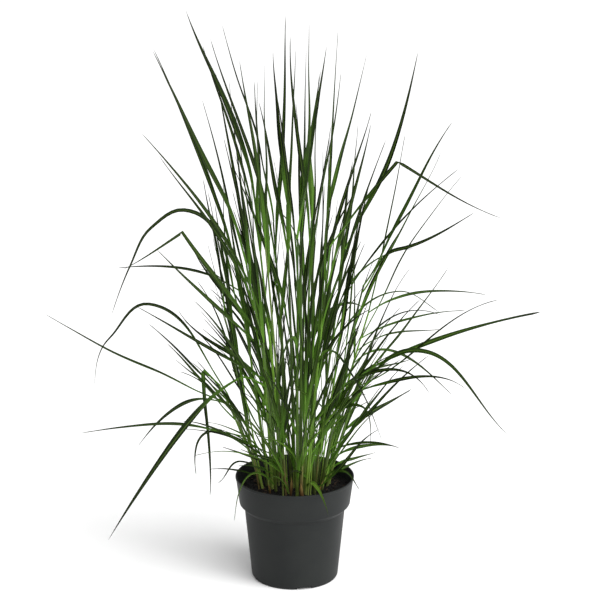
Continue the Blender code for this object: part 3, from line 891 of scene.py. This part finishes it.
MORE_BLADES = (
    Blade("culm_08", 46, (-21.7, 4, 85.5), 8, 26, 7, -50),
    Blade("culm_13", 50, (-13, 6, 86.7), 6, 16, 8, 50),
    Blade("culm_11", 54, (-13.7, -6, 88), 8, 16, 7, -60),
    Blade("culm_01", 52, (-4.4, -9, 86), 2, 2, 9.5, 60),
    Blade("culm_10", 45.5, (-12.3, 8, 81), 8, 12, 8, -50),
    Blade("culm_12", 46, (-20.2, -12, 72.5), 16, 34, 7, 50),
    Blade("culm_10", 40, (-14.6, 10, 76.3), 12, 16, 8, 60),
    Blade("culm_02", 42, (-8.9, -14, 80.5), 8, 12, 9, -50),
    Blade("culm_09", 38, (-10.8, -4, 73.5), 8, 14, 8, 50),
    Blade("culm_13", 44, (-9.6, 12, 67), 12, 18, 8, 60),
    Blade("culm_14", 62, (-3.3, 4, 85.2), 8, 6, 10, -50),
    Blade("culm_14", 54, (0.2, -6, 87.5), 4, 4, 11, 50),
    Blade("culm_15", 55, (1.8, 8, 85), 4, 6, 10, 60),
    Blade("culm_22", 45, (0.2, 14, 75), 6, 6, 7, -50),
    Blade("culm_03", 59, (4, -12, 83.3), 10, 8, 10, 50),
    Blade("culm_16", 52, (7.2, 4, 82), 10, 8, 9, -60),
    Blade("culm_05", 52, (5.4, -16, 78), 12, 20, 8, 50),
    Blade("culm_17", 48, (12.2, 14, 73.5), 14, 18, 7, 50),
    Blade("culm_04", 50, (11.5, -8, 76.5), 14, 10, 8, -50),
    Blade("culm_18", 46, (9.9, 6, 73.6), 8, 6, 8, 50),
    Blade("culm_04", 44, (13.6, -14, 75.5), 16, 20, 6, 60),
    Blade("culm_20", 42, (17.5, 10, 70.8), 16, 12, 5.5, -50),
    Blade("culm_19", 42, (23, 6, 69), 22, 28, 5, 50),
    Blade("culm_18", 44, (25, -6, 69), 26, 48, 5, 60),
    Blade("culm_20", 38, (26.6, 8, 64.5), 26, 42, 5, -50),
    Blade("culm_03", 44, (2.3, -20, 76), 14, 20, 7, 50),
    Blade("culm_13", 52, (-1.4, 10, 89.5), 4, 2, 8, 50),
    Blade("culm_16", 56, (-0.6, -4, 89), 3, -2, 8, 60),
    Blade("culm_11", 57, (-5.6, -3, 82), 4, 6, 7, 50),
    Blade("culm_17", 54, (6.8, 12, 87), 5, 6, 6, 50),
    Blade("culm_12", 50, (-9.6, -12, 84), 6, 10, 7, 60),
    Blade("culm_05", 48, (3.6, -8, 84), 3, 4, 8, 50),
    Blade("culm_17", 42, (4.5, 16, 66.8), 10, 16, 8, 60),
    Blade("culm_05", 40, (2.9, -18, 68.5), 16, 24, 7, -50),
    Blade("culm_22", 38, (-3.5, 18, 65), 14, 16, 7, 50),
    Blade("culm_09", 39, (-20.9, -10, 57.4), 45, 42, 8, 60),
    Blade("culm_10", 38, (-16.4, 10, 52), 30, 28, 8, -50),
    Blade("culm_02", 30, (-15.2, -14, 50.5), 30, 46, 7, 50),
    Blade("culm_12", 34, (-23.9, -14, 49.6), 56, 56, 7, 60),
    Blade("culm_08", 34, (-18.9, 12, 41), 62, 40, 7, -50),
    Blade("culm_09", 33, (-13.9, -16, 46.8), 46, 50, 7, 50),
    Blade("culm_07", 27, (-23.9, 14, 38), 58, 62, 7, 60),
    Blade("culm_06", 27, (-19.3, -16, 44.4), 48, 50, 7, -50),
    Blade("culm_06", 29, (-19.2, 6, 34.5), 55, 66, 7, 50),
    Blade("culm_06", 17, (-13.4, 0, 18), 70, 95, 5, 60),
    Blade("culm_09", 17.5, (-12.4, 2, 14.8), 60, 125, 6, 50, ((-8.6, 1, 18.8, 90),)),
    Blade("culm_02", 18, (-9, -4, 20), 60, 95, 5, 60),
    Blade("culm_12", 18.5, (-11.4, -6, 24), 60, 66, 6, 50),
    Blade("culm_01", 20, (-8.5, -8, 24.4), 55, 62, 6, -50),
    Blade("culm_19", 44, (16.7, -8, 60.6), 18, 32, 5, 50),
    Blade("culm_18", 44, (19, 8, 52.4), 15, 95, 4, 60),
    Blade("culm_21", 33, (23.2, -14, 55.8), 42, 36, 4.5, -50),
    Blade("culm_21", 32, (31.4, -8, 48.8), 65, 72, 4.5, 50),
    Blade("culm_20", 38, (27.5, 10, 41.5), 60, 92, 4.5, 60),
    Blade("culm_20", 36, (23.7, 14, 37), 58, 95, 5, -50),
    Blade("culm_21", 31, (26.9, -6, 33.5), 68, 125, 7, 50),
    Blade("culm_19", 33, (20.7, -14, 35.5), 55, 142, 7, 60),
    Blade("culm_21", 24, (18.9, 8, 28.8), 58, 72, 9.5, 40, (), 3.0),
    Blade("culm_20", 20, (16.5, -6, 23.8), 60, 95, 6, 50),
    Blade("culm_19", 27, (11.8, -9, 25), 40, 182, 6, 60, ((10.4, -8, 31.5, 90),)),
    Blade("culm_05", 15.6, (13.3, -6, 27), 55, 58, 7, 60),
    Blade("culm_20", 30, (19.3, 12, 32.7), 45, 80, 7, -50),
    Blade("culm_18", 37, (23, 6, 42.5), 25, 125, 3.5, 50, ((16.4, 4, 46.5, 90),)),
    Blade("culm_21", 18, (13.1, 4, 19.4), 55, 80, 6, 60),
    Blade("culm_21", 16.5, (12.5, 5, 18), 60, 95, 5, 50),
    Blade("culm_19", 17, (10.3, -4.4, 16.2), 45, 140, 6, 60, ((7.8, -3.6, 19, 90),)),
    Blade("culm_04", 18, (-0.9, -7.5, 20), 50, 110, 6, 50),
    Blade("culm_05", 26, (20, 2, 46), 46, 50, 6, 50),
    Blade("culm_16", 25, (17, 3, 44.5), 42, 44, 7, -50),
    Blade("culm_19", 22, (21, -4, 38.5), 52, 52, 6.5, 60),
    Blade("culm_20", 23, (18.5, 6, 50), 32, 40, 5, 50),
    Blade("culm_04", 22, (14, -10, 45), 36, 34, 6, -50),
    Blade("culm_02", 24, (-18, -6, 36.5), 62, 72, 6, 60),
    Blade("culm_09", 21, (-17.5, -8, 29), 62, 80, 6, -50),
    Blade("culm_01", 18.5, (-18, -2, 25.5), 42, 92, 6, 50),
    Blade("culm_12", 25, (-17.5, 0, 43), 50, 54, 6, 50),
    Blade("culm_08", 24, (-15.5, 5, 48), 36, 40, 6, -50),
)
# The share of the collars that a blade grows from, and how far it turns aside, in
# radians. Then, in centimetres, how far the clump spreads low down, how much of that
# it loses towards the top, the height where it begins to, and over what height.
NODE_BLADE_SHARE = 0.38
SIDEWAYS = (0.1, 1.2)
LOW_REACH = 19
REACH_LOST = 13
NARROWS_FROM = 30
NARROWS_OVER = 54


def clump_reach(height):
    """How far the clump spreads from its middle at a height, in centimetres."""
    return LOW_REACH - REACH_LOST * min(max((height - NARROWS_FROM) / NARROWS_OVER, 0), 1)


def grown_blade(collar, culm, side, lean, droop, length, width, rng):
    """A blade towards one side, steepened until its tip is inside the clump."""
    start = culm_point(culm, collar) / CM
    for _ in range(6):
        middle_lean = math.radians(lean + droop / 2)
        out = length * math.sin(middle_lean)
        tip = (
            start.x + out * math.cos(side),
            start.y + out * math.sin(side),
            start.z + length * math.cos(middle_lean),
        )
        if math.hypot(tip[0], tip[1]) < clump_reach(tip[2]):
            break
        lean *= 0.75
        droop *= 0.75
    turn = rng.uniform(35, 80) * rng.choice((-1, 1))
    return Blade(None, collar, tip, lean, lean + droop, width, turn)


for name, culm in CULMS.items():
    extra = Gathered()
    for blade in MORE_BLADES:
        if blade.culm == name:
            add_blade(extra, blade, culm, growth)
    outward = math.atan2(culm[1][1], culm[1][0])
    for i, collar in enumerate(collars_of[name][:-1]):
        if growth.random() > NODE_BLADE_SHARE:
            continue
        side = outward + (-1) ** i * growth.uniform(*SIDEWAYS)
        lean = growth.uniform(8, 20) + growth.uniform(0, 1) * max(0, 44 - collar)
        droop = growth.triangular(0, 60, 12)
        length = growth.uniform(18, 30)
        width = growth.uniform(5.5, 8.5)
        grown = grown_blade(collar, culm, side, lean, droop, length, width, growth)
        add_blade(extra, grown, culm, growth)
    extra.as_object("more_blades_on_" + name, leaf_finishes[:2])


# ---- Side tillers ---------------------------------------------------------------
# The younger shoots that fill the clump: thinner stems between the culms, each with
# a few narrower blades. Their places are random, from one seed, within the clump.

SIDE_TILLERS = 16
TILLER_FOOT_RADIUS = 1.3
TILLER_TOP_RADIUS = 0.8
CLUMP_RADIUS = 6.0
FEET_SPREAD = 1.08


def foot_beside_a_culm(rng):
    """A new shoot's foot, close to that of the culm it budded from, and its direction."""
    parent = CULMS[rng.choice(sorted(CULMS))][0]
    x = parent[0] * FEET_SPREAD + rng.gauss(0, 0.45)
    y = parent[1] * FEET_SPREAD + rng.gauss(0, 0.45)
    return (x, y), math.atan2(y, x)


for number in range(1, SIDE_TILLERS + 1):
    foot, angle = foot_beside_a_culm(growth)
    radius = math.hypot(*foot)
    top = growth.uniform(22, 48)
    leaning_out = 0.2 * (top - foot_z) + growth.uniform(-1, 1)
    spread = 1 + radius / CLUMP_RADIUS * leaning_out / max(radius, 1)
    culm = (foot, (foot[0] * spread, foot[1] * spread, top))
    shoot = Gathered()
    add_culm(shoot, culm, [], growth, SHEATH, TILLER_FOOT_RADIUS, TILLER_TOP_RADIUS)
    count = growth.randint(3, 5)
    for i in range(count):
        collar = top if i == 0 else foot_z + (top - foot_z) * (1 - 0.6 * i / count)
        side = angle + (-1) ** i * growth.uniform(*SIDEWAYS)
        lean = growth.uniform(6, 14) + i * growth.uniform(4, 9)
        droop = growth.triangular(0, 70, 12)
        length = growth.uniform(18, 32)
        width = growth.uniform(4.5, 7.5)
        grown = grown_blade(collar, culm, side, lean, droop, length, width, growth)
        add_blade(shoot, grown, culm, growth)
    shoot.as_object(f"side_tiller_{number:02d}", leaf_finishes)


# ---- Young shoots ---------------------------------------------------------------
# The newest growth: short shoots round the feet of the culms, each a fan of narrow,
# soft blades that lean out over the rim or stand up into the clump.

YOUNG_SHOOTS = 20
SHOOT_FOOT_RADIUS = 0.9
SHOOT_TOP_RADIUS = 0.6
SHOOT_SPREAD = 1.25

for number in range(1, YOUNG_SHOOTS + 1):
    foot, angle = foot_beside_a_culm(growth)
    top = growth.uniform(17, 27)
    culm = (foot, (foot[0] * SHOOT_SPREAD, foot[1] * SHOOT_SPREAD, top))
    shoot = Gathered()
    add_culm(shoot, culm, [], growth, SHEATH, SHOOT_FOOT_RADIUS, SHOOT_TOP_RADIUS)
    for i in range(growth.randint(2, 4)):
        collar = top - 1.6 * i * growth.random()
        side = angle + growth.gauss(0, 0.9)
        lean = growth.uniform(8, 42)
        droop = growth.triangular(0, 75, 20)
        length = growth.uniform(9, 22)
        width = growth.uniform(3.2, 6)
        grown = grown_blade(collar, culm, side, lean, droop, length, width, growth)
        add_blade(shoot, grown, culm, growth)
    shoot.as_object(f"young_shoot_{number:02d}", young_finishes)


# ---- Dry sheaths ----------------------------------------------------------------
# What is left of the first leaves: short, torn, straw-brown shells that stand loose
# round the feet of the culms. Each is a strip curled across its width.

# Each strip: the x, y of its foot and its height in centimetres, and its width in millimetres
DRY_SHEATHS = (
    (1.3, -4.6, 3.2, 5),
    (-0.7, -3.7, 3.8, 4),
    (-4.1, -2.6, 2.2, 5),
    (4.0, -2.3, 2.4, 4),
    (-5.7, 0.9, 2.4, 6),
    (5.2, 1.4, 3.2, 5),
    (1.4, 5.4, 2.8, 6),
    (-2.4, 4.1, 3.4, 5),
)
DRY_THICKNESS = 0.4
CURL = 0.8
DRY_RINGS = 13
CURL_POINTS = 7
SUNK = 0.3


def dry_sheath():
    """Dead sheath: matt, fibrous, from straw to a rotted brown at the foot."""
    made, tree, shader = new_material("dry_sheath", 0.75, 1.4, 0.3)
    grain = add(tree, "UVMap", {"uv_map": "grain"})
    split = add(tree, "SeparateXYZ", Vector=grain.outputs["UV"])
    drawn = add(tree, "VectorMath", {"operation": "MULTIPLY"}, _0=grain.outputs["UV"], _1=(14, 2, 1))
    fibres = add(tree, "TexNoise", Vector=drawn.outputs[0], Scale=1.0, Detail=3.0)
    weigh = {"operation": "MULTIPLY_ADD"}
    place = add(tree, "Math", weigh, _0=fibres.outputs["Fac"], _1=0.6, _2=split.outputs["Y"])
    colour = ramp(
        tree,
        place.outputs[0],
        (0.3, "#1d140c"),
        (0.65, "#553c1d"),
        (1.2, "#857040"),
    )
    tree.links.new(colour, shader.inputs["Base Color"])
    bump = add(tree, "Bump", Strength=0.5, Distance=0.2 * MM, Height=fibres.outputs["Fac"])
    tree.links.new(bump.outputs["Normal"], shader.inputs["Normal"])
    return made


shells = Gathered()
for x, y, height, width in DRY_SHEATHS:
    outward = Vector((x, y, 0)).normalized()
    across = outward.cross(UP)
    lean = growth.uniform(0.05, 0.25)
    skew = growth.uniform(-0.6, 0.6)
    rings, along = [], []
    for i in range(DRY_RINGS):
        share = i / (DRY_RINGS - 1)
        middle = Vector((x, y, foot_z - SUNK + share * height)) * CM
        middle += outward * lean * height * CM * share * share
        middle += across * skew * height * CM * 0.3 * share
        half = width * MM / 2 * max(0.12, min(1, (1 - share) * 2.5))
        bowed = half / CURL
        outer, inner = [], []
        for k in range(CURL_POINTS):
            angle = CURL * 1.4 * (k / (CURL_POINTS // 2) - 1)
            spread = across * math.sin(angle) + outward * (math.cos(angle) - 1)
            outer.append(middle + spread * bowed)
            tighter = max(bowed - DRY_THICKNESS * MM, 0.2 * bowed)
            inner.append(middle + spread * tighter - outward * DRY_THICKNESS * MM)
        rings.append(outer + inner[::-1])
        along.append(share)
    corners = 2 * CURL_POINTS
    rounds = [k / corners for k in range(corners + 1)]
    shells.loft(rings, rounds, along, growth.random(), [0] * corners)
shells.as_object("dry_sheaths", [dry_sheath()])


# ---- Studio ---------------------------------------------------------------------
# A pale floor wider than the front view, soft light from all round, a broad light from
# above the front right, and a large soft box on the right. The camera looks down a
# little on the middle of the plant.

FLOOR_SIDE = 40.0
CAMERA_DISTANCE = 3.92
CAMERA_TILT = 17.0
CAMERA_LENS = 150.0

mesh = bpy.data.meshes.new("studio_floor")
half = FLOOR_SIDE / 2
floor_corners = [(-half, -half, 0), (half, -half, 0), (half, half, 0), (-half, half, 0)]
mesh.from_pydata(floor_corners, [], [(0, 1, 2, 3)])
studio_floor = placed("studio_floor", mesh)
floor_paint, _, floor_shader = new_material("floor_paint", 0.8)
floor_shader.inputs["Base Color"].default_value = paint("#fbfbfb")
mesh.materials.append(floor_paint)

sky = bpy.data.worlds.new("soft_surround")
sky.use_nodes = True
sky.node_tree.nodes["Background"].inputs["Color"].default_value = paint("#ffffff")
sky.node_tree.nodes["Background"].inputs["Strength"].default_value = 0.56
bpy.context.scene.world = sky


def soft_box(name, place, size, power):
    """A square lamp that faces the middle of the plant."""
    light = bpy.data.lights.new(name, "AREA")
    light.size = size
    light.energy = power
    made = bpy.data.objects.new(name, light)
    bpy.context.scene.collection.objects.link(made)
    made.location = place
    aim = Vector((0, 0, 0.4)) - Vector(place)
    made.rotation_euler = aim.to_track_quat("-Z", "Y").to_euler()


soft_box("right_soft_box", (3.3, -2.0, 1.9), 2.4, 115)

overhead = bpy.data.lights.new("overhead_light", "SUN")
overhead.energy = 2.3
overhead.angle = math.radians(60)
overhead_light = bpy.data.objects.new("overhead_light", overhead)
bpy.context.scene.collection.objects.link(overhead_light)
overhead_light.rotation_euler = (math.radians(34), 0, math.radians(40))

plant_low, plant_high = cad_box
aim = Vector((0.011 + (plant_low[0] + plant_high[0]) / 2, 0, plant_high[2] / 2 + 0.003))
tilt = math.radians(CAMERA_TILT)
lens = bpy.data.cameras.new("camera")
lens.lens = CAMERA_LENS
camera = bpy.data.objects.new("camera", lens)
bpy.context.scene.collection.objects.link(camera)
camera.location = aim + Vector((0, -math.cos(tilt), math.sin(tilt))) * CAMERA_DISTANCE
camera.rotation_euler = (math.pi / 2 - tilt, 0, 0)
bpy.context.scene.camera = camera
bpy.context.scene.view_settings.view_transform = "Standard"
